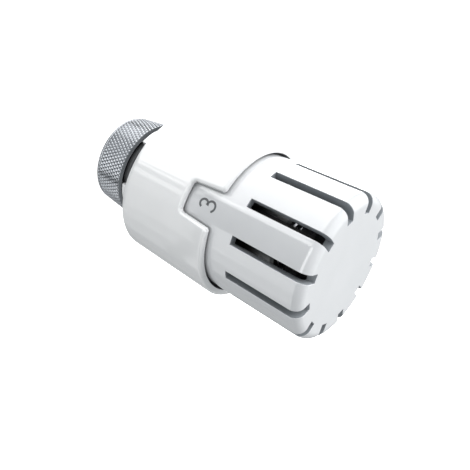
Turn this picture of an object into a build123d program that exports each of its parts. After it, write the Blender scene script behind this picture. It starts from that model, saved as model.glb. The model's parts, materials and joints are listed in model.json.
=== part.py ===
from build123d import *
import math
import os

# Thermostatic radiator valve head, millimetres.
# +Z runs along the head's axis, from the union nut's mouth (z = 0) to the handwheel's flat face.
# The number window in the sleeve faces -Y.

# --- Driving dimensions -------------------------------------------------------------------
HEAD_LENGTH = 95.6          # nut mouth to handwheel face
FRONT = -90.0               # direction of the number window about Z, degrees
GAP = 0.3                   # between pieces that move past each other
SNUG = 0.1                  # between pieces that are fixed to each other

# Union nut, M30 x 1.5
THREAD_MINOR_R = 14.19
NUT_REAR_R = 16.05
NUT_FRONT_R = 17.55
NUT_LENGTH = 13.8
NUT_KNURL_END = 12.9
NUT_CHAMFER = 0.75          # on the front edge
NUT_THREAD_DEPTH = 8.0
NUT_RELIEF_R = 15.1
NUT_SHOULDER_Z = 10.4
NUT_SHOULDER_T = 1.2
NUT_SHOULDER_R = 13.0
NUT_COUNTERBORE_R = 16.0

# Snap ring that keeps the nut on the hub
SNAP_RING_Z = (8.95, 10.15)
SNAP_RING_INNER_R = 12.0

# Hub that seats on the valve, and the frame's flange above it
HUB_END_Z = 8.4             # face that seats on the valve
HUB_R = 12.6
INSERT_R = 10.2             # room for the valve insert
INSERT_TOP_Z = 20.0
INSERT_RECESS_R = 8.0       # above the insert, round the pin
INSERT_RECESS_TOP_Z = 22.5
FLANGE_Z = 25.3
FLANGE_T = 2.5
FLANGE_R = 23.3
BUSH_R = 5.95
BUSH_FLANGE_R = 8.0
SPIGOT_R = 10.0             # the hub's spigot in the frame's flange
PIN_R = 3.5
LIMIT_PIN_PLACES = [(20.2, 60.0), (20.2, 78.0)]     # radius and direction

# Collar behind the sleeve
COLLAR_R = 17.0
COLLAR_WALL = 1.4
COLLAR_Z = 14.4
COLLAR_FLANGE_Z = 23.4
COLLAR_WINDOW_TOP_Z = 19.6
COLLAR_WINDOW_ARC = 56.5
COLLAR_WINDOW_TURN = -1.3   # off the front, degrees

# Sleeve
SLEEVE_REAR_Z = 22.8
SLEEVE_RIM_Z = 59.2
SLEEVE_REAR_R = 25.3
SLEEVE_RIM_R = 27.35
SLEEVE_REAR_EDGE = 0.5
SLEEVE_RIM_EDGE = 0.95
SLEEVE_SEAT_R = FLANGE_R + SNUG
SLEEVE_STEP_Z = 42.8
SLEEVE_STEP_R = 24.25
SLEEVE_MOUTH_R = 24.7
SLEEVE_LEDGE_R = 22.4       # snap ledge that hooks over the frame's flange
SLEEVE_LEDGE_T = 1.3
SLEEVE_KEY_DIRECTIONS = (30, 150, 270)
SLEEVE_KEY_ARC = 18.0
WINDOW_END_Z = 47.3
WINDOW_END_HALF = 5.56
WINDOW_MOUTH_HALF = 6.58
WINDOW_CORNER = 1.3
WINDOW_TURN = 0.7           # off the front, degrees

# Handwheel
WHEEL_REAR_Z = 46.6
WHEEL_REAR_R = 23.7
WHEEL_SHOULDER_R = 25.35
WHEEL_SHOULDER_FILLET = 3.25
WHEEL_INNER_R = 21.4
WHEEL_FACE_T = 3.0
WHEEL_FLANGE_T = 1.8
WHEEL_FLANGE_R = 20.5
SLOT_COUNT = 12
SLOT_WIDTH = 2.95
SLOT_START_Z = 67.3
SLOT_FACE_R = 19.4
TURN_TOTAL = 300.0          # from the frost mark to 5
TURN_UP = 120.0             # from 3 to 5

# Bearing tube that carries the handwheel
BEARING_R = WHEEL_FLANGE_R - GAP
BEARING_INNER_R = 18.4
BEARING_TOP_Z = 51.0
BEARING_SHOULDER_R = 21.0
BEARING_SHOULDER_Z = 45.7
WHEEL_RING_Z = (48.8, 50.1)
WHEEL_RING_INNER_R = 19.6
STOP_LUG_ARC = 20.0
STOP_LUG_Z = 43.6
STOP_BLOCK_Z = 40.5
STOP_MARGIN = 1.0
STOP_BLOCK_ARC = 360.0 - TURN_TOTAL - STOP_LUG_ARC - 2 * STOP_MARGIN
STOP_BLOCK_AT = 90.0

# Adjusting thread between hub and sensor carrier, two starts, right hand
LEAD = 5.4
THREAD_STARTS = 2
CARRIER_TUBE_R = 13.6
CARRIER_TUBE_INNER_R = 11.5
CARRIER_TUBE_Z = 31.0
THREAD_CREST_R = 14.3
THREAD_ROOT_W = 1.3
THREAD_CREST_W = 0.6
THREAD_Z = 33.2
THREAD_TURNS = 2
HUB_THREAD_R = CARRIER_TUBE_R + GAP
HUB_THREAD_ROOT_R = THREAD_CREST_R + GAP
HUB_LAND_ROOT_W = 1.75      # lands of the hub's thread, 0.3 mm clear of the carrier's ridges
HUB_LAND_CREST_W = 1.0
HUB_LAND_LENGTH = 15.4
HUB_THREAD_TUBE_R = 16.8
HUB_THREAD_TOP_Z = 46.0

# Sensor carrier cage
CAGE_Z = 50.0
CAGE_SHELF_T = 3.3
CAGE_R = 16.4
CAGE_INNER_R = 14.4
CAGE_TOP_Z = 86.4
CAGE_WINDOW_Z = (57.0, 83.0)
CAGE_WINDOWS = 6
CAGE_WINDOW_ARC = 20.0
CAGE_HOLE_R = 6.0
FIN_COUNT = 3
FIN_T = 2.0
FIN_R = 20.4
FIN_Z = (62.0, 84.0)
DRIVE_RIB_T = 1.4
DRIVE_RIB_INNER_R = 18.6
DRIVE_RIB_Z = 56.0

# Sensor
CAN_R = 14.0
CAN_WALL = 0.5
LID_T = 1.2
CAN_TOP_Z = 78.0
LID_HOLE_R = 3.3
BELLOWS_R = 8.4
BELLOWS_INNER_R = 6.6
BELLOWS_WALL = 0.3
BELLOWS_FOLDS = 9
BELLOWS_TOP_Z = 69.8
BELLOWS_PIN_R = 2.5

# Pin
PIN_TIP_Z = 20.3            # 11.9 mm from the hub's seat, which just opens a valve closing at 11.8
PIN_JOIN_Z = 46.0


# --- Shape helpers ------------------------------------------------------------------------
def turned(points):
    """A solid of revolution about Z from a closed outline of (radius, height) points."""
    outline = Polyline(*[(r, 0, z) for r, z in points], close=True)
    return revolve(make_face(outline), Axis.Z)


def ring(inner_r, outer_r, low_z, high_z):
    """A plain ring, or a disc where inner_r is 0."""
    return turned([(inner_r, low_z), (outer_r, low_z), (outer_r, high_z), (inner_r, high_z)])


def sector(inner_r, outer_r, low_z, high_z, centre, arc):
    """A piece of a ring, arc degrees wide, centred on the direction centre."""
    outline = Polyline(
        (inner_r, 0, low_z), (outer_r, 0, low_z), (outer_r, 0, high_z), (inner_r, 0, high_z), close=True
    )
    piece = revolve(make_face(outline), Axis.Z, revolution_arc=arc)
    return Rot(0, 0, centre - arc / 2) * piece


def radial_bar(inner_r, outer_r, width, low_z, high_z, direction, offset=0.0):
    """A straight bar that points outward, offset sideways from its direction."""
    bar = Box(outer_r - inner_r, width, high_z - low_z)
    place = Pos((inner_r + outer_r) / 2, offset, (low_z + high_z) / 2)
    return Rot(0, 0, direction) * place * bar


def coil(mean_r, wire_r, low_z, high_z, turns):
    """A compression spring between two flat seats."""
    rise = high_z - low_z - 2 * wire_r
    path = Pos(0, 0, low_z + wire_r) * Helix(pitch=rise / turns, height=rise, radius=mean_r)
    section = Plane(origin=path @ 0, z_dir=path % 0) * Circle(wire_r)
    return sweep(section, path=path, is_frenet=True)


def round_edge(body, radius):
    """The body's circular edges of this radius."""
    return body.edges().filter_by(GeomType.CIRCLE).filter_by(lambda edge: abs(edge.radius - radius) < 0.01)


def thread_bar(base_r, base_w, crest_r, crest_w, low_z, length, start):
    """One start of the adjusting thread, as a helical bar of trapezoid section.

    It stands outward where crest_r is the larger radius, and inward where it is the smaller."""
    path = Pos(0, 0, low_z) * Helix(pitch=LEAD, height=length, radius=base_r)
    plane = Plane(origin=path @ 0, z_dir=path % 0, x_dir=(1, 0, 0))
    rise = crest_r - base_r
    section = Polyline(
        (0, -base_w / 2), (rise, -crest_w / 2), (rise, crest_w / 2), (0, base_w / 2), close=True
    )
    bar = sweep(plane * make_face(section), path=path, is_frenet=True)
    return Rot(0, 0, start * 360 / THREAD_STARTS) * bar


# --- Union nut and what holds it ----------------------------------------------------------
def union_nut():
    shoulder_top = NUT_SHOULDER_Z + NUT_SHOULDER_T
    return turned([
        (THREAD_MINOR_R, 0),
        (NUT_REAR_R - 0.8, 0),
        (NUT_REAR_R, 0.8),
        (NUT_FRONT_R, NUT_KNURL_END),
        (NUT_FRONT_R - NUT_CHAMFER, NUT_LENGTH),
        (NUT_COUNTERBORE_R, NUT_LENGTH),
        (NUT_COUNTERBORE_R, shoulder_top),
        (NUT_SHOULDER_R, shoulder_top),
        (NUT_SHOULDER_R, NUT_SHOULDER_Z),
        (NUT_RELIEF_R, NUT_SHOULDER_Z),
        (NUT_RELIEF_R, NUT_THREAD_DEPTH),
        (THREAD_MINOR_R, NUT_THREAD_DEPTH),
    ])


def nut_retaining_ring():
    whole = ring(SNAP_RING_INNER_R, NUT_RELIEF_R - 0.5, *SNAP_RING_Z)
    return whole - sector(11, 16, 8, 11, STOP_BLOCK_AT, 14)


def nut_slip_ring():
    seat_z = NUT_SHOULDER_Z + NUT_SHOULDER_T
    return ring(HUB_R + SNUG, 14.6, seat_z + 0.15, seat_z + 2.6)


# --- Hub, frame, collar, sleeve ------------------------------------------------------------------
def limit_pin_holes(low_z, high_z):
    return [
        Rot(0, 0, direction) * Pos(radius, 0, 0) * ring(0, 1.0, low_z, high_z)
        for radius, direction in LIMIT_PIN_PLACES
    ]


def valve_hub():
    body = ring(INSERT_R, HUB_R, HUB_END_Z, INSERT_TOP_Z)
    body += ring(INSERT_RECESS_R, HUB_R, INSERT_TOP_Z, INSERT_RECESS_TOP_Z)
    body += ring(BUSH_R + SNUG, HUB_R, INSERT_RECESS_TOP_Z, FLANGE_Z - SNUG)
    body += ring(BUSH_R + SNUG, SPIGOT_R, FLANGE_Z - SNUG, FLANGE_Z + FLANGE_T)
    body -= ring(SNAP_RING_INNER_R - SNUG, HUB_R + 1, SNAP_RING_Z[0] - SNUG, SNAP_RING_Z[1] + SNUG)
    return body


def inner_frame():
    flange_top = FLANGE_Z + FLANGE_T
    body = ring(SPIGOT_R + SNUG, FLANGE_R, FLANGE_Z, flange_top)
    body += ring(HUB_THREAD_ROOT_R, HUB_THREAD_TUBE_R, flange_top, HUB_THREAD_TOP_Z)
    body += ring(BEARING_INNER_R, BEARING_SHOULDER_R, flange_top, BEARING_SHOULDER_Z)
    body += ring(BEARING_INNER_R, BEARING_R, BEARING_SHOULDER_Z, BEARING_TOP_Z)
    body += sector(
        BEARING_SHOULDER_R - 0.5, FLANGE_R, STOP_BLOCK_Z, BEARING_SHOULDER_Z, STOP_BLOCK_AT, STOP_BLOCK_ARC
    )
    body -= ring(WHEEL_RING_INNER_R - SNUG, BEARING_R + 1, WHEEL_RING_Z[0] - SNUG, WHEEL_RING_Z[1] + SNUG)
    land_z = THREAD_Z - LEAD + LEAD / THREAD_STARTS / 2
    for start in range(THREAD_STARTS):
        body += thread_bar(
            HUB_THREAD_ROOT_R + GAP, HUB_LAND_ROOT_W, HUB_THREAD_R, HUB_LAND_CREST_W,
            land_z, HUB_LAND_LENGTH, start,
        )
    for hole in limit_pin_holes(FLANGE_Z - 1, flange_top + 1):
        body -= hole
    return body


def base_collar():
    body = ring(COLLAR_R - COLLAR_WALL, COLLAR_R, COLLAR_Z, COLLAR_FLANGE_Z)
    body += ring(HUB_R + SNUG, FLANGE_R, COLLAR_FLANGE_Z, FLANGE_Z - SNUG)
    body -= sector(
        COLLAR_R - 3, COLLAR_R + 3, COLLAR_Z - 1, COLLAR_WINDOW_TOP_Z,
        FRONT + COLLAR_WINDOW_TURN, COLLAR_WINDOW_ARC,
    )
    for hole in limit_pin_holes(COLLAR_FLANGE_Z - 1, FLANGE_Z + 1):
        body -= hole
    return body


def limit_pins():
    pin = turned([(0, 22.9), (1.5, 22.9), (1.5, 23.3), (0.9, 23.3), (0.9, 27.2), (0.4, 27.7), (0, 27.7)])
    return [Rot(0, 0, direction) * Pos(radius, 0, 0) * pin for radius, direction in LIMIT_PIN_PLACES]


def window_tool():
    """The number window's outline, drawn on the XZ plane and driven out through the front."""
    outline = FilletPolyline(
        (-9, 0, SLEEVE_RIM_Z),
        (-WINDOW_MOUTH_HALF, 0, SLEEVE_RIM_Z),
        (-WINDOW_END_HALF, 0, WINDOW_END_Z),
        (WINDOW_END_HALF, 0, WINDOW_END_Z),
        (WINDOW_MOUTH_HALF, 0, SLEEVE_RIM_Z),
        (9, 0, SLEEVE_RIM_Z),
        radius=WINDOW_CORNER,
    )
    closing = Polyline((9, 0, SLEEVE_RIM_Z), (9, 0, SLEEVE_RIM_Z + 5), (-9, 0, SLEEVE_RIM_Z + 5),
                       (-9, 0, SLEEVE_RIM_Z))
    face = make_face(outline.edges() + closing.edges())
    return Rot(0, 0, WINDOW_TURN) * extrude(face, amount=40, dir=(0, -1, 0))


def sleeve_shell():
    ledge_z = FLANGE_Z + FLANGE_T + SNUG
    body = turned([
        (SLEEVE_SEAT_R, SLEEVE_REAR_Z),
        (SLEEVE_REAR_R, SLEEVE_REAR_Z),
        (SLEEVE_RIM_R, SLEEVE_RIM_Z),
        (SLEEVE_MOUTH_R, SLEEVE_RIM_Z),
        (SLEEVE_STEP_R, SLEEVE_STEP_Z),
        (SLEEVE_SEAT_R, SLEEVE_STEP_Z),
        (SLEEVE_SEAT_R, ledge_z + SLEEVE_LEDGE_T),
        (SLEEVE_LEDGE_R, ledge_z + SLEEVE_LEDGE_T),
        (SLEEVE_LEDGE_R, ledge_z),
        (SLEEVE_SEAT_R, ledge_z),
    ])
    body = fillet(round_edge(body, SLEEVE_REAR_R), SLEEVE_REAR_EDGE)
    body = fillet(round_edge(body, SLEEVE_RIM_R), SLEEVE_RIM_EDGE)
    for direction in SLEEVE_KEY_DIRECTIONS:
        body += sector(SLEEVE_SEAT_R - 0.5, SLEEVE_SEAT_R + 0.4, SLEEVE_REAR_Z + SNUG,
                       COLLAR_FLANGE_Z - SNUG, direction, SLEEVE_KEY_ARC)
    body -= window_tool()
    return body


# --- Handwheel and its bearing ------------------------------------------------------------
def handwheel():
    body = turned([
        (0, HEAD_LENGTH),
        (WHEEL_SHOULDER_R, HEAD_LENGTH),
        (WHEEL_REAR_R, WHEEL_REAR_Z),
        (WHEEL_FLANGE_R, WHEEL_REAR_Z),
        (WHEEL_FLANGE_R, WHEEL_REAR_Z + WHEEL_FLANGE_T),
        (WHEEL_INNER_R, WHEEL_REAR_Z + WHEEL_FLANGE_T),
        (WHEEL_INNER_R, HEAD_LENGTH - WHEEL_FACE_T),
        (0, HEAD_LENGTH - WHEEL_FACE_T),
    ])
    body = fillet(round_edge(body, WHEEL_SHOULDER_R), WHEEL_SHOULDER_FILLET)
    for number in range(FIN_COUNT):
        direction = FRONT + number * 360 / FIN_COUNT
        for side in (-1, 1):
            offset = side * (FIN_T / 2 + GAP + DRIVE_RIB_T / 2)
            body += radial_bar(DRIVE_RIB_INNER_R, WHEEL_INNER_R + 0.8, DRIVE_RIB_T,
                               DRIVE_RIB_Z, HEAD_LENGTH - WHEEL_FACE_T + 0.5, direction, offset)
    for number in range(SLOT_COUNT):
        direction = FRONT + (number + 0.5) * 360 / SLOT_COUNT
        body -= radial_bar(SLOT_FACE_R, 30, SLOT_WIDTH, SLOT_START_Z, HEAD_LENGTH + 1, direction)
    lug_at = STOP_BLOCK_AT - STOP_BLOCK_ARC / 2 - STOP_MARGIN - TURN_UP - STOP_LUG_ARC / 2
    body += sector(WHEEL_INNER_R, WHEEL_REAR_R - 0.2, STOP_LUG_Z, WHEEL_REAR_Z + 0.2, lug_at, STOP_LUG_ARC)
    return body


def handwheel_retaining_ring():
    whole = ring(WHEEL_RING_INNER_R, WHEEL_INNER_R - 0.4, *WHEEL_RING_Z)
    return whole - sector(18, 23, 48, 51, STOP_BLOCK_AT, 12)


def glide_ring():
    return ring(BEARING_R + SNUG, BEARING_SHOULDER_R - 0.05, BEARING_SHOULDER_Z + 0.05, WHEEL_REAR_Z - SNUG)


# --- Sensor carrier with the over-travel spring -------------------------------------------
def sensor_carrier():
    shelf_top = CAGE_Z + CAGE_SHELF_T
    body = ring(CARRIER_TUBE_INNER_R, CARRIER_TUBE_R, CARRIER_TUBE_Z, CAGE_Z)
    for start in range(THREAD_STARTS):
        body += thread_bar(
            CARRIER_TUBE_R - GAP, THREAD_ROOT_W, THREAD_CREST_R, THREAD_CREST_W,
            THREAD_Z, THREAD_TURNS * LEAD, start,
        )
    body += ring(CAGE_HOLE_R, CAGE_R, CAGE_Z, shelf_top)
    body += ring(CAGE_INNER_R, CAGE_R, shelf_top, CAGE_TOP_Z)
    for number in range(CAGE_WINDOWS):
        body -= sector(CAGE_INNER_R - 1, CAGE_R + 1, *CAGE_WINDOW_Z,
                       number * 360 / CAGE_WINDOWS, CAGE_WINDOW_ARC)
    for number in range(FIN_COUNT):
        body += radial_bar(CAGE_R - 0.5, FIN_R, FIN_T, *FIN_Z, FRONT + number * 360 / FIN_COUNT)
    return body


def spring_cap():
    plate = ring(6.5, CAGE_R, CAGE_TOP_Z + SNUG, CAGE_TOP_Z + 1.5)
    return plate + ring(12.9, CAGE_INNER_R - SNUG, CAGE_TOP_Z - 1.8, CAGE_TOP_Z + 1)


def overtravel_spring():
    return coil(11.0, 0.7, CAN_TOP_Z + 0.95, CAGE_TOP_Z + 0.05, 3.5)


# --- Sensor -------------------------------------------------------------------------------
LID_Z = CAGE_Z + CAGE_SHELF_T + SNUG
CAN_Z = LID_Z + LID_T + 0.05


def sensor_lid():
    return ring(LID_HOLE_R, CAN_R, LID_Z, LID_Z + LID_T)


def sensor_can():
    return turned([
        (CAN_R, CAN_Z),
        (CAN_R, CAN_TOP_Z - 1.6),
        (CAN_R - 0.5, CAN_TOP_Z - 0.5),
        (CAN_R - 1.6, CAN_TOP_Z),
        (1.6, CAN_TOP_Z),
        (1.6, CAN_TOP_Z - CAN_WALL),
        (CAN_R - 1.8, CAN_TOP_Z - CAN_WALL),
        (CAN_R - 0.9, CAN_TOP_Z - 0.9),
        (CAN_R - CAN_WALL, CAN_TOP_Z - 1.8),
        (CAN_R - CAN_WALL, CAN_Z),
    ])


def fill_plug():
    top = CAN_TOP_Z
    return turned([
        (0, top - 1.4), (1.5, top - 1.4), (1.5, top + 0.05), (2.3, top + 0.05),
        (2.3, top + 1.2), (1.2, top + 2.6), (0, top + 2.6),
    ])


def spring_seat():
    low = CAN_TOP_Z + 0.05
    return turned([
        (9.2, low), (12.2, low), (12.2, low + 0.8), (9.9, low + 0.8), (9.9, low + 2.2), (9.2, low + 2.2),
    ])


def bellows():
    low = LID_Z + LID_T + 0.05
    fold = (BELLOWS_TOP_Z - low) / BELLOWS_FOLDS
    outer = [(BELLOWS_INNER_R, low)]
    for number in range(BELLOWS_FOLDS):
        outer.append((BELLOWS_R, low + (number + 0.4) * fold))
        outer.append((BELLOWS_R, low + (number + 0.6) * fold))
        outer.append((BELLOWS_INNER_R, low + (number + 1) * fold))
    inner = [(r - BELLOWS_WALL * 1.6, z) for r, z in reversed(outer)]
    return turned(outer + inner)


# --- Pin and the pieces that move with it -------------------------------------------------
def bellows_end_plate():
    return ring(0, 8.0, BELLOWS_TOP_Z + 0.05, BELLOWS_TOP_Z + 0.85)


def bellows_pin():
    return turned([
        (0, PIN_JOIN_Z + 0.05), (BELLOWS_PIN_R, PIN_JOIN_Z + 0.05), (BELLOWS_PIN_R, BELLOWS_TOP_Z - 1),
        (5.4, BELLOWS_TOP_Z - 1), (5.4, BELLOWS_TOP_Z), (0, BELLOWS_TOP_Z),
    ])


def return_spring():
    return coil(4.6, 0.4, LID_Z + LID_T + 0.05, BELLOWS_TOP_Z - 1.05, 7)


def thrust_pin():
    return turned([
        (0, PIN_TIP_Z), (PIN_R - 0.7, PIN_TIP_Z), (PIN_R, PIN_TIP_Z + 0.7), (PIN_R, PIN_JOIN_Z - 2),
        (5.0, PIN_JOIN_Z - 2), (5.0, PIN_JOIN_Z), (0, PIN_JOIN_Z),
    ])


def pin_guide_bush():
    bore = PIN_R + 0.05
    top = FLANGE_Z + FLANGE_T
    return turned([
        (bore, 22.0), (BUSH_R, 22.0), (BUSH_R, top + 0.05), (BUSH_FLANGE_R, top + 0.05),
        (BUSH_FLANGE_R, top + 1.2), (BUSH_R, top + 1.2), (BUSH_R, 31.0), (bore, 31.0),
    ])


PIECES = [
    union_nut, nut_retaining_ring, nut_slip_ring,
    valve_hub, inner_frame, base_collar, limit_pins, sleeve_shell, pin_guide_bush,
    handwheel, handwheel_retaining_ring, glide_ring,
    sensor_carrier, spring_cap, overtravel_spring,
    sensor_lid, sensor_can, fill_plug, spring_seat, bellows,
    bellows_end_plate, bellows_pin, return_spring, thrust_pin,
]

os.makedirs("parts", exist_ok=True)
for piece in PIECES:
    shape = piece()
    if isinstance(shape, list):
        shape = Compound(children=shape)
    export_step(shape, f"parts/{piece.__name__}.step")
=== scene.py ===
import json
import math

import bmesh
import bpy
from mathutils import Matrix, Vector


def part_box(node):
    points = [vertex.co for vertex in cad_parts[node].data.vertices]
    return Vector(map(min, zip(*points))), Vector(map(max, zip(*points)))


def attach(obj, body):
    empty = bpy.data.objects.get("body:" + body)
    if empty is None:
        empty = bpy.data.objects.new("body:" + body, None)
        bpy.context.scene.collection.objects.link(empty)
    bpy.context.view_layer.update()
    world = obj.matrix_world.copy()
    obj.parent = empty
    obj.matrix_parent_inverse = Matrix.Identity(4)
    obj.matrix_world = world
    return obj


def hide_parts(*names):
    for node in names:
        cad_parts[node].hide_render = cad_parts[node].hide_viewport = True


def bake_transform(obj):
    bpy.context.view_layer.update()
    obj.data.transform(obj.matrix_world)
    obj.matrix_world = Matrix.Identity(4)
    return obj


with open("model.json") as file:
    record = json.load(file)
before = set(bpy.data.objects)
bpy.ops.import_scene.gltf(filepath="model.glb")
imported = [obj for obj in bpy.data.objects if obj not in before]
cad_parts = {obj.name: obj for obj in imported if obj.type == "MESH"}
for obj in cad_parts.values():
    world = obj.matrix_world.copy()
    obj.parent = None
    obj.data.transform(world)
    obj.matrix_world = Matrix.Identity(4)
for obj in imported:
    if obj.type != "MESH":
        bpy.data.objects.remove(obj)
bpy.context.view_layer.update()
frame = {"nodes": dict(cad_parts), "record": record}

# Metres throughout, in the row frame: +Z along the head's axis, the number window facing -Y.
MM = 0.001
FRONT = math.radians(-90)
TAU = 2 * math.pi


# --- Sizes read from the frame ------------------------------------------------------------
def low(node):
    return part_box(node)[0]


def high(node):
    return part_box(node)[1]


SLEEVE_REAR_Z = low("sleeve_shell")[2]
SLEEVE_RIM_Z = high("sleeve_shell")[2]
SLEEVE_RIM_R = high("sleeve_shell")[0]
SLEEVE_REAR_R = 25.3 * MM
SLEEVE_MOUTH_R = 24.7 * MM
SLEEVE_STEP_R = 24.25 * MM
SLEEVE_STEP_Z = 42.8 * MM
SLEEVE_SEAT_R = 23.4 * MM
SLEEVE_REAR_EDGE = 0.5 * MM
SLEEVE_EDGE = 0.95 * MM            # rounding of the rim and of the window's edge
SLEEVE_INNER_EDGE = 0.3 * MM
SLEEVE_FLAT_DEPTH = 1.3 * MM       # the rim's flat end lies between this depth and the rounding
SLEEVE_MARGIN = 0.12 * MM          # rows that still follow the edge, past its rounding
SLEEVE_LINING_INSET = 0.45 * MM
SLEEVE_SEAT_CHAMFER = 0.2 * MM
SLEEVE_STEP_CHAMFER = 0.1 * MM
CLIMB_WEIGHT = 0.45                # how much a climb of the edge counts in spacing the rear circles
WINDOW_END_Z = 47.3 * MM
WINDOW_END_HALF = 5.6 * MM
WINDOW_MOUTH_HALF = 6.6 * MM
WINDOW_CORNER = 1.3 * MM
WINDOW_MIDDLE = FRONT + math.radians(0.7)

WHEEL_TOP_Z = high("handwheel")[2]
WHEEL_REAR_Z = 46.6 * MM
WHEEL_REAR_R = 23.7 * MM
WHEEL_SHOULDER_R = 25.35 * MM
WHEEL_FILLET = 3.25 * MM
WHEEL_INNER_R = 21.4 * MM
WHEEL_FLANGE_R = 20.5 * MM
WHEEL_FLANGE_T = 1.8 * MM
WHEEL_FACE_T = 3.0 * MM
WHEEL_INNER_FILLET = 1.5 * MM
WHEEL_FACE_RINGS = (18.6 * MM, 16 * MM, 12 * MM, 8 * MM, 4 * MM, 1.5 * MM)
SLOT_COUNT = 12
SLOT_HALF = 1.475 * MM
SLOT_START_Z = 67.3 * MM
SLOT_FACE_R = 19.4 * MM
WHEEL_EDGE = 0.3 * MM
WHEEL_SKIN = 1.2 * MM              # deeper faces are painted a darker grey, as painted shade
WHEEL_SLOPE = (WHEEL_SHOULDER_R - WHEEL_REAR_R) / (WHEEL_TOP_Z - WHEEL_REAR_Z)

NUT_FRONT_Z = high("union_nut")[2]
NUT_FRONT_R = high("union_nut")[0]
NUT_REAR_R = 16.05 * MM
NUT_CONE_START_Z = 0.8 * MM
NUT_KNURL_END_Z = 12.9 * MM
NUT_CHAMFER = 0.75 * MM
NUT_KNURL_START_Z = 0.9 * MM
THREAD_MINOR_R = 14.19 * MM
THREAD_MAJOR_R = 15.0 * MM
THREAD_PITCH = 1.5 * MM
THREAD_TOP_Z = 7.8 * MM
THREAD_MOUTH = 0.15 * MM           # the mouth is wider than the thread's roots by this
THREAD_SLOPE = 1.25                # over 1 + THREAD_FLAT, so that the crests are flat
THREAD_FLAT = 0.1                  # over 0, so that the roots are flat
THREAD_ROWS = 84
KNURL_COUNT = 78
KNURL_PITCH = 2.31 * MM
KNURL_DEPTH = 0.42 * MM
KNURL_HALF = 5                     # mesh steps to half a diamond
KNURL_SLOPE = 1.45                 # over 1, so that the diamonds end in flat tops
KNURL_FADE_ROWS = 3
# The nut's inside above the thread, as (radius, z): counterbore, shoulder and relief.
NUT_INSIDE = (
    (16.1 * MM, 13.8 * MM), (16.0 * MM, 13.7 * MM), (16.0 * MM, 11.7 * MM), (15.9 * MM, 11.6 * MM),
    (13.1 * MM, 11.6 * MM), (13.0 * MM, 11.5 * MM), (13.0 * MM, 10.5 * MM), (13.1 * MM, 10.4 * MM),
    (15.0 * MM, 10.4 * MM), (15.1 * MM, 10.3 * MM), (15.1 * MM, 7.9 * MM),
)

OVERTRAVEL_WIRE_R = 0.7 * MM
OVERTRAVEL_TURNS = 3.5
RETURN_WIRE_R = 0.4 * MM
RETURN_TURNS = 7
END_COIL_RISE = 2.1                # of an end coil, in wire radii
COIL_STEPS = 36                    # rings of the wire's mesh to a turn
WIRE_SIDES = 12
BELLOWS_FOLDS = 9
BELLOWS_FOLD_STEPS = 12
BELLOWS_DEPTH = 1.8 * MM
BELLOWS_WALL = 0.3 * MM
BELLOWS_COLUMNS = 72


# --- Mesh helpers -------------------------------------------------------------------------
def spread(first, last, steps):
    """steps + 1 values from first to last."""
    return [first + (last - first) * step / steps for step in range(steps + 1)]


def polar(radius, angle, z):
    return (radius * math.cos(angle), radius * math.sin(angle), z)


def grid_faces(rows, columns, wrap_rows=False):
    """Quads over rows of points, numbered row by row. Each row is a closed ring."""
    faces = []
    for row in range(rows if wrap_rows else rows - 1):
        next_row = (row + 1) % rows
        for column in range(columns):
            next_column = (column + 1) % columns
            faces.append((
                row * columns + column,
                row * columns + next_column,
                next_row * columns + next_column,
                next_row * columns + column,
            ))
    return faces


def make_piece(name, points, faces, body, material, stands_for=()):
    """A mesh piece with its material and what it stands for. The body is a name, and the piece is attached to
    that body;
    or it is what between() gives for a piece between two bodies, and then the piece is only fixed in place,
    attached to neither."""
    mesh = bpy.data.meshes.new(name)
    mesh.from_pydata(points, [], faces)
    mesh.validate()
    mesh.update()
    piece = bpy.data.objects.new(name, mesh)
    bpy.context.scene.collection.objects.link(piece)
    outward(mesh)
    mesh.shade_smooth()
    mesh.materials.append(material)
    if isinstance(body, str):
        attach(piece, body)
    else:
        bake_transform(piece)
    if stands_for:
        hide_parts(*stands_for)
    return piece


def outward(mesh):
    """Turns every closed shell's faces to point outward."""
    work = bmesh.new()
    work.from_mesh(mesh)
    bmesh.ops.remove_doubles(work, verts=work.verts, dist=1e-7)
    bmesh.ops.recalc_face_normals(work, faces=work.faces)
    work.to_mesh(mesh)
    work.free()


def paint_shade_inside(piece, shade_material, is_inside):
    """A second material, painted shade, on the faces whose middles pass the test."""
    piece.data.materials.append(shade_material)
    for face in piece.data.polygons:
        if is_inside(face.center):
            face.material_index = 1


def sharpen(piece, degrees):
    """Flat shading across edges sharper than this angle."""
    piece.data.set_sharp_from_angle(angle=math.radians(degrees))


def round_edges(piece, width):
    bevel = piece.modifiers.new("rounded_edges", "BEVEL")
    bevel.width = width
    bevel.segments = 3
    bevel.limit_method = "ANGLE"
    bevel.angle_limit = math.radians(40)
    bevel.harden_normals = True
    bevel.use_clamp_overlap = True


# --- Materials ----------------------------------------------------------------------------
NOISE_LOW = 0.3                    # noise below this counts as darkest, above NOISE_HIGH as lightest
NOISE_HIGH = 0.7
BUMP_HEIGHT = 0.02 * MM
METAL_BUMP = 0.05


def new_material(name):
    """An empty node material with its Principled shader and object coordinates."""
    material = bpy.data.materials.new(name)
    material.use_nodes = True
    nodes = material.node_tree.nodes
    links = material.node_tree.links
    shader = nodes["Principled BSDF"]
    place = nodes.new("ShaderNodeTexCoord")
    return material, nodes, links, shader, place.outputs["Object"]


def add_noise(nodes, links, where, scale, detail=3.0, roughness=0.5):
    noise = nodes.new("ShaderNodeTexNoise")
    noise.inputs["Scale"].default_value = scale
    noise.inputs["Detail"].default_value = detail
    noise.inputs["Roughness"].default_value = roughness
    links.new(where, noise.inputs["Vector"])
    return noise.outputs["Fac"]


def add_range(nodes, links, value, to_min, to_max):
    span = nodes.new("ShaderNodeMapRange")
    span.inputs["From Min"].default_value = NOISE_LOW
    span.inputs["From Max"].default_value = NOISE_HIGH
    span.inputs["To Min"].default_value = to_min
    span.inputs["To Max"].default_value = to_max
    links.new(value, span.inputs["Value"])
    return span.outputs["Result"]


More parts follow.
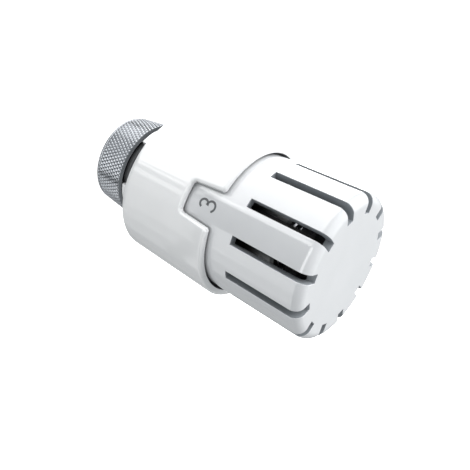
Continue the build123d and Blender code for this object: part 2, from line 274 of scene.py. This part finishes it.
def add_colours(nodes, links, value, dark, light):
    ramp = nodes.new("ShaderNodeValToRGB")
    ramp.color_ramp.elements[0].position = NOISE_LOW
    ramp.color_ramp.elements[0].color = (*dark, 1)
    ramp.color_ramp.elements[1].position = NOISE_HIGH
    ramp.color_ramp.elements[1].color = (*light, 1)
    links.new(value, ramp.inputs["Fac"])
    return ramp.outputs["Color"]


def add_bump(nodes, links, shader, height, strength):
    bump = nodes.new("ShaderNodeBump")
    bump.inputs["Strength"].default_value = strength
    bump.inputs["Distance"].default_value = BUMP_HEIGHT
    links.new(height, bump.inputs["Height"])
    links.new(bump.outputs["Normal"], shader.inputs["Normal"])


def moulded(name, dark, light, gloss, grain, coat=0.0, depth=0.02):
    """Moulded plastic: faint cloudiness, uneven gloss and a fine moulded grain."""
    material, nodes, links, shader, where = new_material(name)
    cloud = add_noise(nodes, links, where, 90, 2)
    links.new(add_colours(nodes, links, cloud, dark, light), shader.inputs["Base Color"])
    smear = add_noise(nodes, links, where, 260, 4, 0.6)
    links.new(add_range(nodes, links, smear, gloss[0], gloss[1]), shader.inputs["Roughness"])
    add_bump(nodes, links, shader, add_noise(nodes, links, where, grain, 2), depth)
    shader.inputs["IOR"].default_value = 1.5
    shader.inputs["Coat Weight"].default_value = coat
    shader.inputs["Coat Roughness"].default_value = 0.05
    shader.inputs["Coat IOR"].default_value = 1.6
    return material


def metal(name, dark, light, gloss, grain, stretch=(1, 1, 1)):
    """Plated or drawn metal: uneven tone and gloss, with fine marks along stretch."""
    material, nodes, links, shader, where = new_material(name)
    mapping = nodes.new("ShaderNodeMapping")
    mapping.inputs["Scale"].default_value = stretch
    links.new(where, mapping.inputs["Vector"])
    marks = add_noise(nodes, links, mapping.outputs["Vector"], grain, 4, 0.6)
    cloud = add_noise(nodes, links, where, 160, 3)
    links.new(add_colours(nodes, links, cloud, dark, light), shader.inputs["Base Color"])
    links.new(add_range(nodes, links, marks, gloss[0], gloss[1]), shader.inputs["Roughness"])
    add_bump(nodes, links, shader, marks, METAL_BUMP)
    shader.inputs["Metallic"].default_value = 1.0
    return material


WHITE = moulded("white_plastic", (0.83, 0.835, 0.84), (0.85, 0.855, 0.86), (0.10, 0.13), 2600, 1.0, 0.01)
WHEEL_WHITE = moulded(
    "handwheel_plastic", (0.675, 0.685, 0.70), (0.695, 0.705, 0.72), (0.10, 0.13), 2600, 1.0, 0.01,
)
# Painted shade: the handwheel's slot walls and inside are coloured a darker grey, standing in for the shadow
# in them.
WHEEL_SHADE_PAINT = moulded("handwheel_painted_shade", (0.27, 0.29, 0.31), (0.32, 0.34, 0.36), (0.4, 0.5), 1500, depth=0.05)
# Painted shade: the sleeve's bore and inner edge are coloured near black, standing in for the shadow in the
# gap round the handwheel.
SHADED = moulded("bore_painted_shade", (0.05, 0.053, 0.057), (0.06, 0.064, 0.068), (0.5, 0.6), 1500, depth=0.05)
DARK = moulded("dark_plastic", (0.006, 0.006, 0.007), (0.012, 0.012, 0.013), (0.4, 0.55), 1800, depth=0.15)
GREY = moulded("grey_plastic", (0.14, 0.145, 0.15), (0.19, 0.195, 0.20), (0.35, 0.5), 1800, depth=0.1)
NYLON = moulded("natural_nylon", (0.62, 0.59, 0.52), (0.70, 0.67, 0.60), (0.35, 0.5), 1600, depth=0.1)
INK = moulded("dial_ink", (0.085, 0.09, 0.095), (0.11, 0.115, 0.12), (0.35, 0.5), 3000, depth=0.05)
NICKEL = metal("nickel_plate", (0.215, 0.225, 0.24), (0.265, 0.275, 0.29), (0.14, 0.22), 900)
STEEL = metal("steel", (0.42, 0.43, 0.45), (0.52, 0.53, 0.55), (0.22, 0.36), 1200, (1, 1, 8))
ALUMINIUM = metal("aluminium_can", (0.20, 0.205, 0.21), (0.26, 0.265, 0.27), (0.35, 0.5), 900, (1, 1, 12))
BRASS = metal("brass_bellows", (0.58, 0.40, 0.16), (0.68, 0.49, 0.22), (0.22, 0.36), 900)

BY_SLOT = {
    "white_plastic": WHITE, "dark_plastic": DARK, "grey_plastic": GREY, "natural_nylon": NYLON,
    "nickel_plate": NICKEL, "steel": STEEL, "aluminium_can": ALUMINIUM, "brass_bellows": BRASS,
}


def dress_cad_nodes():
    """Every carried-over node gets the material of its slot."""
    for subpart in frame["record"]["subparts"]:
        node = frame["nodes"][subpart["node"]]
        node.data.materials.clear()
        node.data.materials.append(BY_SLOT[subpart["material_slot"]])


# --- Sleeve -------------------------------------------------------------------------------
def sleeve_outer_r(z):
    share = (z - SLEEVE_REAR_Z) / (SLEEVE_RIM_Z - SLEEVE_REAR_Z)
    return SLEEVE_REAR_R + (SLEEVE_RIM_R - SLEEVE_REAR_R) * share


def sleeve_inner_r(z):
    share = (z - SLEEVE_STEP_Z) / (SLEEVE_RIM_Z - SLEEVE_STEP_Z)
    return SLEEVE_STEP_R + (SLEEVE_MOUTH_R - SLEEVE_STEP_R) * share


def edge_half():
    """Half of the sleeve's free edge, unrolled: from the middle of the window's closed end, up its side
    and round the rim to the back. Each point is (along, height, normal along, normal height), and the
    normal points into the sleeve's wall."""
    back = math.pi * SLEEVE_RIM_R
    corners = [
        (0.0, WINDOW_END_Z), (WINDOW_END_HALF, WINDOW_END_Z),
        (WINDOW_MOUTH_HALF, SLEEVE_RIM_Z), (back, SLEEVE_RIM_Z),
    ]
    steps = [8, 12, 110]
    path = []
    start = Vector(corners[0])
    for index in (1, 2):
        before, corner, after = (Vector(corners[index + shift]) for shift in (-1, 0, 1))
        come = (corner - before).normalized()
        leave = (after - corner).normalized()
        turn = come.angle_signed(leave)
        reach = WINDOW_CORNER * math.tan(abs(turn) / 2)
        arc_start = corner - come * reach
        path += straight(start, arc_start, steps[index - 1])
        side = Vector((-come.y, come.x)) * (-1 if turn > 0 else 1)
        centre = arc_start + side * WINDOW_CORNER
        for step in range(1, 10):
            bent = Matrix.Rotation(-turn * step / 10, 2) @ (arc_start - centre)
            heading = Matrix.Rotation(-turn * step / 10, 2) @ come
            path.append((*(centre + bent), heading.y, -heading.x))
        start = corner + leave * reach
    path += straight(start, Vector(corners[3]), steps[2])
    heading = (Vector(corners[3]) - start).normalized()
    path.append((*corners[3], heading.y, -heading.x))
    return path


def straight(start, end, steps):
    """Points from start up to but not including end, with the normal on the right-hand side."""
    heading = (end - start).normalized()
    points = []
    for step in range(steps):
        place = start.lerp(end, step / steps)
        points.append((place.x, place.y, heading.y, -heading.x))
    return points


def sleeve():
    half = edge_half()
    mirrored = [(-u, z, -nu, nz) for u, z, nu, nz in reversed(half[1:-1])]
    path = half + mirrored
    travel = [0.0]
    for before, after in zip(half, half[1:]):
        travel.append(travel[-1] + abs(after[0] - before[0]) + CLIMB_WEIGHT * abs(after[1] - before[1]))
    even = [math.pi * SLEEVE_RIM_R * value / travel[-1] for value in travel]
    even += [-value for value in reversed(even[1:-1])]

    def on_wall(inset, depth):
        """One row of points at this inset from the edge and this depth under the outer surface."""
        row = []
        for u, z, nu, nz in path:
            height = z + nz * inset
            along = u + nu * inset
            row.append(polar(sleeve_outer_r(height) - depth, WINDOW_MIDDLE + along / SLEEVE_RIM_R, height))
        return row

    def on_inner(inset):
        row = []
        for u, z, nu, nz in path:
            height = z + nz * inset
            row.append(polar(sleeve_inner_r(height), WINDOW_MIDDLE + (u + nu * inset) / SLEEVE_RIM_R, height))
        return row

    def toward_rear(share, inset, radius_of, rear_z):
        """A row that runs from the edge's outline to a plain circle as share goes from 0 to 1."""
        row = []
        for (u, z, nu, nz), goal in zip(path, even):
            height = (z + nz * inset) * (1 - share) + rear_z * share
            along = (u + nu * inset) * (1 - share) + goal * share
            row.append(polar(radius_of(height), WINDOW_MIDDLE + along / SLEEVE_RIM_R, height))
        return row

    def circle(radius, z):
        return [polar(radius, WINDOW_MIDDLE + goal / SLEEVE_RIM_R, z) for goal in even]

    rows = []
    for step in range(5):
        angle = math.pi / 2 * step / 4
        inset = SLEEVE_INNER_EDGE * (1 - math.sin(angle))
        row = []
        for u, z, nu, nz in path:
            height = z + nz * inset
            radius = sleeve_inner_r(height) + SLEEVE_INNER_EDGE * (1 - math.cos(angle))
            row.append(polar(radius, WINDOW_MIDDLE + (u + nu * inset) / SLEEVE_RIM_R, height))
        rows.append(row)
    for depth in spread(SLEEVE_FLAT_DEPTH, SLEEVE_EDGE, 2)[1:]:
        rows.append(on_wall(0, depth))
    for step in range(1, 9):
        angle = math.pi / 2 * step / 8
        rows.append(on_wall(SLEEVE_EDGE * (1 - math.cos(angle)), SLEEVE_EDGE * (1 - math.sin(angle))))
    near = SLEEVE_EDGE + SLEEVE_MARGIN
    rows.append(on_wall(near, 0))
    rear = SLEEVE_REAR_Z + SLEEVE_REAR_EDGE
    for share in spread(0, 1, 16)[1:]:
        rows.append(toward_rear(share, near, sleeve_outer_r, rear))
    for step in range(1, 5):
        angle = math.pi / 2 * step / 4
        rows.append(circle(
            sleeve_outer_r(rear) - SLEEVE_REAR_EDGE * (1 - math.cos(angle)),
            rear - SLEEVE_REAR_EDGE * math.sin(angle),
        ))
    rows.append(circle(SLEEVE_SEAT_R + SLEEVE_SEAT_CHAMFER, SLEEVE_REAR_Z))
    rows.append(circle(SLEEVE_SEAT_R, SLEEVE_REAR_Z + SLEEVE_SEAT_CHAMFER))
    rows.append(circle(SLEEVE_SEAT_R, SLEEVE_STEP_Z - SLEEVE_STEP_CHAMFER))
    rows.append(circle(SLEEVE_SEAT_R + SLEEVE_STEP_CHAMFER, SLEEVE_STEP_Z))
    rows.append(circle(SLEEVE_STEP_R, SLEEVE_STEP_Z))
    for share in (0.97, 0.6, 0.3):
        rows.append(toward_rear(share, SLEEVE_LINING_INSET, sleeve_inner_r, SLEEVE_STEP_Z))
    rows.append(on_inner(SLEEVE_LINING_INSET))
    points = [point for row in rows for point in row]
    faces = grid_faces(len(rows), len(path), wrap_rows=True)
    piece = make_piece("sleeve", points, faces, "base", WHITE, ["sleeve_shell"])
    sharpen(piece, 50)
    # The bore and its inner edge get the painted shade.
    paint_shade_inside(piece, SHADED, lambda middle: middle.xy.length < sleeve_inner_r(middle.z) + SLEEVE_INNER_EDGE)


# --- Handwheel ----------------------------------------------------------------------------
def wheel_outer_r(z):
    return WHEEL_REAR_R + WHEEL_SLOPE * (z - WHEEL_REAR_Z)


def wheel_outline():
    """The wheel's outer and inner outlines as matching (outer r, outer z, inner r, inner z) rows, from
    the rear edge to the face's middle, with the first and last row that the slots reach."""
    lean = math.atan(WHEEL_SLOPE)
    centre_z = WHEEL_TOP_Z - WHEEL_FILLET
    centre_r = WHEEL_SHOULDER_R - WHEEL_SLOPE * WHEEL_FILLET - WHEEL_FILLET / math.cos(lean)
    under_z = WHEEL_TOP_Z - WHEEL_FACE_T
    inner_r = WHEEL_INNER_R - WHEEL_INNER_FILLET
    inner_z = under_z - WHEEL_INNER_FILLET
    rows = []
    ledge_z = WHEEL_REAR_Z + WHEEL_FLANGE_T
    for z in spread(ledge_z, SLOT_START_Z, 5):
        rows.append((wheel_outer_r(z), z, WHEEL_INNER_R, z))
    first = len(rows) - 1
    arc_z = centre_z - WHEEL_FILLET * math.sin(lean)
    for share in spread(0, 1, 10)[1:]:
        z = SLOT_START_Z + (arc_z - SLOT_START_Z) * share
        rows.append((wheel_outer_r(z), z, WHEEL_INNER_R, SLOT_START_Z + (inner_z - SLOT_START_Z) * share))
    for share in spread(0, 1, 12)[1:]:
        outer = -lean + (math.pi / 2 + lean) * share
        inner = math.pi / 2 * share
        rows.append((
            centre_r + WHEEL_FILLET * math.cos(outer), centre_z + WHEEL_FILLET * math.sin(outer),
            inner_r + WHEEL_INNER_FILLET * math.cos(inner), inner_z + WHEEL_INNER_FILLET * math.sin(inner),
        ))
    for share in spread(0, 1, 3)[1:]:
        rows.append((
            centre_r + (SLOT_FACE_R - centre_r) * share, WHEEL_TOP_Z,
            inner_r + (SLOT_FACE_R - inner_r) * share, under_z,
        ))
    last = len(rows) - 1
    for radius in WHEEL_FACE_RINGS:
        rows.append((radius, WHEEL_TOP_Z, radius, under_z))
    return rows, first, last


def wheel_skin_depth(place):
    """How deep this place lies under the wheel's outer surface, on the skirt or on the face."""
    return min(wheel_outer_r(place.z) - place.xy.length, WHEEL_TOP_Z - place.z)


def handwheel():
    rows, first, last = wheel_outline()
    slot_columns = 4
    rib_columns = 16
    per_sector = slot_columns + rib_columns
    columns = per_sector * SLOT_COUNT
    sector = TAU / SLOT_COUNT

    def angle(column, radius):
        """Direction of a column at this radius; the slot's own columns keep its width constant."""
        number, inside = divmod(column, per_sector)
        middle = FRONT + (number + 0.5) * sector
        edge = math.asin(SLOT_HALF / max(radius, SLOT_FACE_R))
        if inside <= slot_columns:
            return middle + edge * (2 * inside / slot_columns - 1)
        share = (inside - slot_columns) / rib_columns
        return middle + edge + (sector - 2 * edge) * share

    points = []
    for outer_r, outer_z, inner_r, inner_z in rows:
        points += [polar(outer_r, angle(column, outer_r), outer_z) for column in range(columns)]
    for outer_r, outer_z, inner_r, inner_z in rows:
        points += [polar(inner_r, angle(column, inner_r), inner_z) for column in range(columns)]
    inner = len(rows) * columns

    def in_slot(row, column):
        return first <= row < last and column % per_sector < slot_columns

    faces = []
    for row in range(len(rows) - 1):
        for column in range(columns):
            if in_slot(row, column):
                continue
            after = (column + 1) % columns
            quad = (row * columns + column, row * columns + after,
                    (row + 1) * columns + after, (row + 1) * columns + column)
            faces.append(quad)
            faces.append(tuple(inner + index for index in reversed(quad)))
    for row in range(first, last):
        for number in range(SLOT_COUNT):
            for column in (number * per_sector, number * per_sector + slot_columns):
                a, b = row * columns + column, (row + 1) * columns + column
                faces.append((a, b, inner + b, inner + a))
    for row in (first, last):
        for number in range(SLOT_COUNT):
            for step in range(slot_columns):
                a = row * columns + number * per_sector + step
                faces.append((a, a + 1, inner + a + 1, inner + a))

    # The middle of the face, outside and inside.
    for base, z in ((0, rows[-1][1]), (inner, rows[-1][3])):
        middle = len(points)
        points.append((0, 0, z))
        start = base + (len(rows) - 1) * columns
        for column in range(columns):
            faces.append((start + column, start + (column + 1) % columns, middle))

    # The skirt's rear end with its inward flange.
    ends = [(0, rows[0][0], rows[0][1]), (None, WHEEL_REAR_R, WHEEL_REAR_Z),
            (None, WHEEL_FLANGE_R, WHEEL_REAR_Z), (None, WHEEL_FLANGE_R, rows[0][3]), (inner, 0, 0)]
    previous = 0
    for base, radius, z in ends[1:]:
        if base is None:
            base = len(points)
            points += [polar(radius, angle(column, WHEEL_REAR_R), z) for column in range(columns)]
        for column in range(columns):
            after = (column + 1) % columns
            faces.append((previous + column, previous + after, base + after, base + column))
        previous = base
    piece = make_piece(
        "handwheel_shell", points, faces, "handwheel", WHEEL_WHITE, ["handwheel"],
    )
    # The slot walls and the inside get the painted shade.
    paint_shade_inside(piece, WHEEL_SHADE_PAINT, lambda middle: wheel_skin_depth(middle) > WHEEL_SKIN)
    round_edges(piece, WHEEL_EDGE)


# --- Union nut ----------------------------------------------------------------------------
def nut_outer_r(z):
    share = (z - NUT_CONE_START_Z) / (NUT_KNURL_END_Z - NUT_CONE_START_Z)
    return NUT_REAR_R + (NUT_FRONT_R - NUT_REAR_R) * share


def knurl_height(column, row):
    """0 at the bottom of a groove and 1 on a diamond's flat top, on a grid of KNURL_HALF steps to a half."""
    across = column / (2 * KNURL_HALF)
    along = row / (2 * KNURL_HALF)
    ridge_a = abs(2 * ((across + along) % 1) - 1)
    ridge_b = abs(2 * ((across - along) % 1) - 1)
    return min(1.0, KNURL_SLOPE * min(ridge_a, ridge_b))


def split_knurl(quad, column, row):
    """Two triangles where a groove or ridge crosses the quad, split along it, or the quad itself."""
    a, b, c, d = quad
    if (column + row + 1) % KNURL_HALF == 0:
        return [(a, b, d), (b, c, d)]
    if (column - row) % KNURL_HALF == 0:
        return [(a, b, c), (a, c, d)]
    return [quad]


def thread_row(z, columns):
    """One level of the internal thread, whose crests and roots climb as they go round."""
    line = []
    for column in range(columns):
        turn = column / columns
        wave = abs(2 * ((z / THREAD_PITCH - turn) % 1) - 1)
        crest = min(1.0, max(0.0, THREAD_SLOPE * wave - THREAD_FLAT))
        radius = THREAD_MAJOR_R - (THREAD_MAJOR_R - THREAD_MINOR_R) * crest
        mouth = THREAD_MAJOR_R + THREAD_MOUTH - z
        line.append(polar(max(radius, mouth), TAU * turn, z))
    return line


def union_nut():
    columns = KNURL_COUNT * 2 * KNURL_HALF
    row_step = KNURL_PITCH / (2 * KNURL_HALF)
    knurl_rows = int((NUT_KNURL_END_Z - NUT_KNURL_START_Z) / row_step)

    def circle(radius, z):
        return [polar(radius, TAU * column / columns, z) for column in range(columns)]

    rows = [circle(THREAD_MAJOR_R + THREAD_MOUTH, 0), circle(NUT_REAR_R - 0.85 * MM, 0)]
    rows.append(circle(NUT_REAR_R - 0.45 * MM, 0.2 * MM))
    rows.append(circle(NUT_REAR_R - 0.1 * MM, 0.6 * MM))
    knurl_first = len(rows)
    for row in range(knurl_rows + 1):
        z = NUT_KNURL_START_Z + row * row_step
        fade = min(1.0, row / KNURL_FADE_ROWS)
        line = []
        for column in range(columns):
            sunk = KNURL_DEPTH * (1 - knurl_height(column, row)) * fade
            line.append(polar(nut_outer_r(z) - sunk, TAU * column / columns, z))
        rows.append(line)
    knurl_last = len(rows) - 1
    rows.append(circle(NUT_FRONT_R - 0.1 * MM, NUT_KNURL_END_Z + 0.05 * MM))
    rows.append(circle(NUT_FRONT_R - NUT_CHAMFER + 0.1 * MM, NUT_FRONT_Z - 0.12 * MM))
    rows.append(circle(NUT_FRONT_R - NUT_CHAMFER - 0.02 * MM, NUT_FRONT_Z))
    for radius, z in NUT_INSIDE:
        rows.append(circle(radius, z))
    for z in spread(THREAD_TOP_Z, 0, THREAD_ROWS)[:-1]:
        rows.append(thread_row(z, columns))
    points = [point for row in rows for point in row]
    faces = []
    for number, quad in enumerate(grid_faces(len(rows), columns, wrap_rows=True)):
        row, column = divmod(number, columns)
        if knurl_first <= row < knurl_last:
            faces += split_knurl(quad, column, row - knurl_first)
        else:
            faces.append(quad)
    piece = make_piece("knurled_union_nut", points, faces, "union_nut", NICKEL, ["union_nut"])
    sharpen(piece, 28)


# --- Springs and bellows, which give way between two bodies --------------------------------
def between(lower, upper, node):
    """The two bodies at this node's ends, and the places where it leaves the one and joins the other."""
    return lower, upper, (0, 0, low(node)[2]), (0, 0, high(node)[2])


def coil_spring(node, lower, upper, wire_r, turns):
    """A compression spring with closed end coils, as large as its node."""
    bottom, top = low(node)[2] + wire_r, high(node)[2] - wire_r
    mean_r = high(node)[0] - wire_r
    end_rise = END_COIL_RISE * wire_r
    middle_rise = (top - bottom - 2 * end_rise) / (turns - 2)
    points = []
    rings = int(turns * COIL_STEPS) + 1
    for ring in range(rings):
        turn = ring / COIL_STEPS
        z = bottom + min(turn, 1) * end_rise + min(max(turn - 1, 0), turns - 2) * middle_rise
        z += max(turn - turns + 1, 0) * end_rise
        for side in range(WIRE_SIDES):
            around = TAU * side / WIRE_SIDES
            radius = mean_r + wire_r * math.cos(around)
            points.append(polar(radius, TAU * turn, z + wire_r * math.sin(around)))
    faces = grid_faces(rings, WIRE_SIDES)
    faces.append(tuple(range(WIRE_SIDES)))
    faces.append(tuple(reversed(range(len(points) - WIRE_SIDES, len(points)))))
    piece = make_piece(node + "_wire", points, faces, between(lower, upper, node), STEEL, [node])
    sharpen(piece, 60)


def bellows_skin():
    """Round folds, with a wall of even thickness."""
    bottom, top = low("bellows")[2], high("bellows")[2]
    outer_r = high("bellows")[0]
    middle_r = outer_r - BELLOWS_DEPTH / 2
    levels = spread(bottom, top, BELLOWS_FOLDS * BELLOWS_FOLD_STEPS)
    radii = []
    for z in levels:
        wave = math.cos(TAU * BELLOWS_FOLDS * (z - bottom) / (top - bottom))
        radii.append(middle_r - wave * BELLOWS_DEPTH / 2)
    profile = list(zip(radii, levels))
    profile += [(radius - BELLOWS_WALL, z) for radius, z in reversed(profile)]
    points = []
    for radius, z in profile:
        points += [polar(radius, TAU * column / BELLOWS_COLUMNS, z) for column in range(BELLOWS_COLUMNS)]
    faces = grid_faces(len(profile), BELLOWS_COLUMNS, wrap_rows=True)
    ends = between("sensor", "pin", "bellows")
    piece = make_piece("bellows_folds", points, faces, ends, BRASS, ["bellows"])
    sharpen(piece, 60)


# --- Marks on the skirt -------------------------------------------------------------------
MARK_HEIGHT = 5.9 * MM
MARK_STROKE = 0.72 * MM
MARK_MIDDLE_Z = 54.75 * MM
MARK_STEP = math.radians(60)
MARK_STEP_LENGTH = 0.4 * MM        # longest straight step of a stroke
ARC_STEPS = 18
MARK_MITRE = 0.35                  # limits how far a sharp corner of a stroke runs out
INK_RAISED = 0.025 * MM
INK_SUNK = 0.05 * MM


def arc(x, y, radius_x, radius_y, start, end):
    """Points of an elliptic stroke, in half heights, angles in degrees."""
    return [
        (x + radius_x * math.cos(math.radians(angle)), y + radius_y * math.sin(math.radians(angle)))
        for angle in spread(start, end, ARC_STEPS)
    ]


# Strokes in half heights from the mark's middle, reading upright.
MARKS = {
    "frost": [[(0, 0.62), (0, -0.62)], [(-0.54, 0.31), (0.54, -0.31)], [(-0.54, -0.31), (0.54, 0.31)]],
    "1": [[(-0.3, 0.62), (0.1, 1.0), (0.1, -1.0)]],
    "2": [arc(0, 0.48, 0.52, 0.52, 165, -32) + [(-0.52, -1.0), (0.56, -1.0)]],
    "3": [arc(-0.02, 0.5, 0.46, 0.5, 158, -84) + arc(-0.02, -0.46, 0.55, 0.54, 84, -158)],
    "4": [[(0.22, -1.0), (0.22, 1.0), (-0.58, -0.42), (0.58, -0.42)]],
    "5": [[(0.48, 1.0), (-0.36, 1.0), (-0.44, 0.06)] + arc(-0.04, -0.36, 0.58, 0.64, 112, -152)],
}
MARK_TURN = {"frost": -3, "1": -2, "2": -1, "3": 0, "4": 1, "5": 2}


def fine_steps(places):
    """The same line with extra points, so that it follows the skirt's curve."""
    line = []
    for start, end in zip(places, places[1:]):
        steps = max(1, math.ceil((end - start).length / MARK_STEP_LENGTH))
        line += [start.lerp(end, step / steps) for step in range(steps)]
    return line + [places[-1]]


def stroke_outline(stroke):
    """Left and right edges of a stroke of even width with mitred corners."""
    half = MARK_STROKE / 2
    centre = fine_steps([Vector((x * MARK_HEIGHT / 2, y * MARK_HEIGHT / 2)) for x, y in stroke])
    left, right = [], []
    for index, point in enumerate(centre):
        before = centre[max(index - 1, 0)]
        after = centre[min(index + 1, len(centre) - 1)]
        come = (point - before).normalized() if index else (after - point).normalized()
        leave = (after - point).normalized() if index < len(centre) - 1 else come
        bisector = (come + leave).normalized()
        normal = Vector((-bisector.y, bisector.x))
        reach = half / max(MARK_MITRE, normal.dot(Vector((-come.y, come.x))))
        left.append(point + normal * reach)
        right.append(point - normal * reach)
    return left, right


def dial_marks():
    """Printed marks, a thin raised film of ink on the skirt. They read with their tops towards the nut."""
    for name, strokes in MARKS.items():
        points, faces = [], []
        for stroke in strokes:
            left, right = stroke_outline(stroke)
            start = len(points)
            for a, b in zip(left, right):
                for raised in (INK_RAISED, -INK_SUNK):
                    for place in (a, b):
                        z = MARK_MIDDLE_Z - place.y
                        radius = wheel_outer_r(z) + raised
                        turn = FRONT - MARK_STEP * MARK_TURN[name] - place.x / WHEEL_REAR_R
                        points.append(polar(radius, turn, z))
            for index in range(len(left) - 1):
                a = start + 4 * index
                b = a + 4
                faces += [(a, a + 1, b + 1, b), (a + 2, b + 2, b + 3, a + 3),
                          (a, b, b + 2, a + 2), (a + 1, a + 3, b + 3, b + 1)]
            end = start + 4 * (len(left) - 1)
            faces += [(start, start + 2, start + 3, start + 1), (end, end + 1, end + 3, end + 2)]
        piece = make_piece("mark_" + name, points, faces, "handwheel", INK)
        sharpen(piece, 40)


# --- Stage, lights, camera ----------------------------------------------------------------
FLOOR_HALF = 6.0


def stage():
    """A floor that glows an even white. It throws no light on the head and doesn't show in it."""
    mesh = bpy.data.meshes.new("floor")
    corners = [(x * FLOOR_HALF, y * FLOOR_HALF, 0) for x, y in ((-1, -1), (1, -1), (1, 1), (-1, 1))]
    mesh.from_pydata(corners, [], [(0, 1, 2, 3)])
    floor = bpy.data.objects.new("floor", mesh)
    bpy.context.scene.collection.objects.link(floor)
    material, nodes, links, shader, where = new_material("floor_paint")
    cloud = add_noise(nodes, links, where, 3, 2)
    paint = add_colours(nodes, links, cloud, (0.9, 0.9, 0.9), (0.92, 0.92, 0.92))
    links.new(paint, shader.inputs["Base Color"])
    shader.inputs["Roughness"].default_value = 0.9
    shader.inputs["Emission Color"].default_value = (1, 1, 1, 1)
    shader.inputs["Emission Strength"].default_value = 1.0
    mesh.materials.append(material)
    floor.visible_diffuse = False
    floor.visible_glossy = False
    floor.visible_shadow = False


MIDDLE = Vector((0, 0, 50 * MM))
WORLD_GLOW = 0.47
WORLD_TINT = (0.95, 0.985, 1.0, 1)

# Soft boxes round the head: azimuth, elevation, half widths in degrees, radiance. The fills light the
# surfaces and don't show in them. The reflections show in glossy surfaces and don't light them.
FILLS = {
    "key": (-165, 40, 15.6, 20, 4.5),
    "left": (-135, 10, 19.7, 20, 1.5),
    "far_left": (160, 15, 19, 20, 4.6),
    "front": (-55, 5, 20, 20, 1.3),
    "far_top": (115, 50, 14, 14, 6.6),
}
REFLECTIONS = {
    "left_panel": (-143, -26, 32, 29, 2.6),
    "left_edge": (-103.7, -24, 2.5, 11, 2.6),
    "strip_1": (-97.0, -41, 1.7, 6, 1.7),
    "strip_2": (-84.0, -41, 2.6, 6, 1.1),
    "low_panel_a": (-83, -41.5, 16, 5.5, 0.85),
    "low_panel_b": (-43, -41.5, 14, 5.5, 0.75),
    "low_panel_c": (-14, -41.5, 7.6, 5.5, 0.5),
    "low_panel_d": (9, -41.5, 9.4, 5.5, 0.25),
    "right_panel_a": (-44.5, -22, 15.2, 12, 1.3),
    "right_panel_b": (-18, -22, 9.3, 12, 0.9),
    "right_panel_c": (4, -22, 11.2, 12, 0.5),
    "nut_panel_a": (-158, -60, 12, 8, 6.0),
    "nut_panel_b": (155, -38, 26, 20, 4.5),
    "edge_panel": (103, -28, 13, 18, 3.0),
    "shoulder_panel": (-80, -2, 20, 13, 2.6),
}
BOX_DISTANCE = 0.9


def soft_box(name, azimuth, elevation, half_across, half_up, radiance):
    azimuth, elevation = math.radians(azimuth), math.radians(elevation)
    toward = Vector((math.cos(elevation) * math.cos(azimuth), math.cos(elevation) * math.sin(azimuth),
                     math.sin(elevation)))
    data = bpy.data.lights.new(name, "AREA")
    data.shape = "RECTANGLE"
    data.size = 2 * BOX_DISTANCE * math.tan(math.radians(half_across))
    data.size_y = 2 * BOX_DISTANCE * math.tan(math.radians(half_up))
    data.energy = radiance * math.pi * data.size * data.size_y
    lamp = bpy.data.objects.new(name, data)
    bpy.context.scene.collection.objects.link(lamp)
    lamp.location = MIDDLE + toward * BOX_DISTANCE
    lamp.rotation_euler = (-toward).to_track_quat("-Z", "Y").to_euler()
    lamp.visible_camera = False
    return lamp


def lights():
    for name, box in FILLS.items():
        soft_box(name, *box).visible_glossy = False
    for name, box in REFLECTIONS.items():
        soft_box(name, *box).visible_diffuse = False
    world = bpy.data.worlds.new("studio")
    bpy.context.scene.world = world
    world.use_nodes = True
    world.node_tree.nodes["Background"].inputs["Color"].default_value = WORLD_TINT
    world.node_tree.nodes["Background"].inputs["Strength"].default_value = WORLD_GLOW


CAMERA_LENS = 57.0
CAMERA_PLACE = (-0.0139, -0.2199, 0.1751)
CAMERA_FORWARD = (0.0812, 0.8746, -0.4780)
CAMERA_RIGHT = (-0.4299, 0.4634, 0.7749)


def camera():
    data = bpy.data.cameras.new("camera")
    data.sensor_width = 36
    data.lens = CAMERA_LENS
    data.clip_start = 0.01
    lens = bpy.data.objects.new("camera", data)
    bpy.context.scene.collection.objects.link(lens)
    forward = Vector(CAMERA_FORWARD).normalized()
    right = Vector(CAMERA_RIGHT)
    right = (right - forward * right.dot(forward)).normalized()
    up = right.cross(forward)
    turn = Matrix((right, up, -forward)).transposed()
    lens.matrix_world = Matrix.Translation(CAMERA_PLACE) @ turn.to_4x4()
    bpy.context.scene.camera = lens


dress_cad_nodes()
sleeve()
handwheel()
union_nut()
coil_spring("overtravel_spring", "sensor", "carrier", OVERTRAVEL_WIRE_R, OVERTRAVEL_TURNS)
coil_spring("return_spring", "sensor", "pin", RETURN_WIRE_R, RETURN_TURNS)
bellows_skin()
dial_marks()
stage()
lights()
camera()
bpy.context.scene.view_settings.view_transform = "Standard"
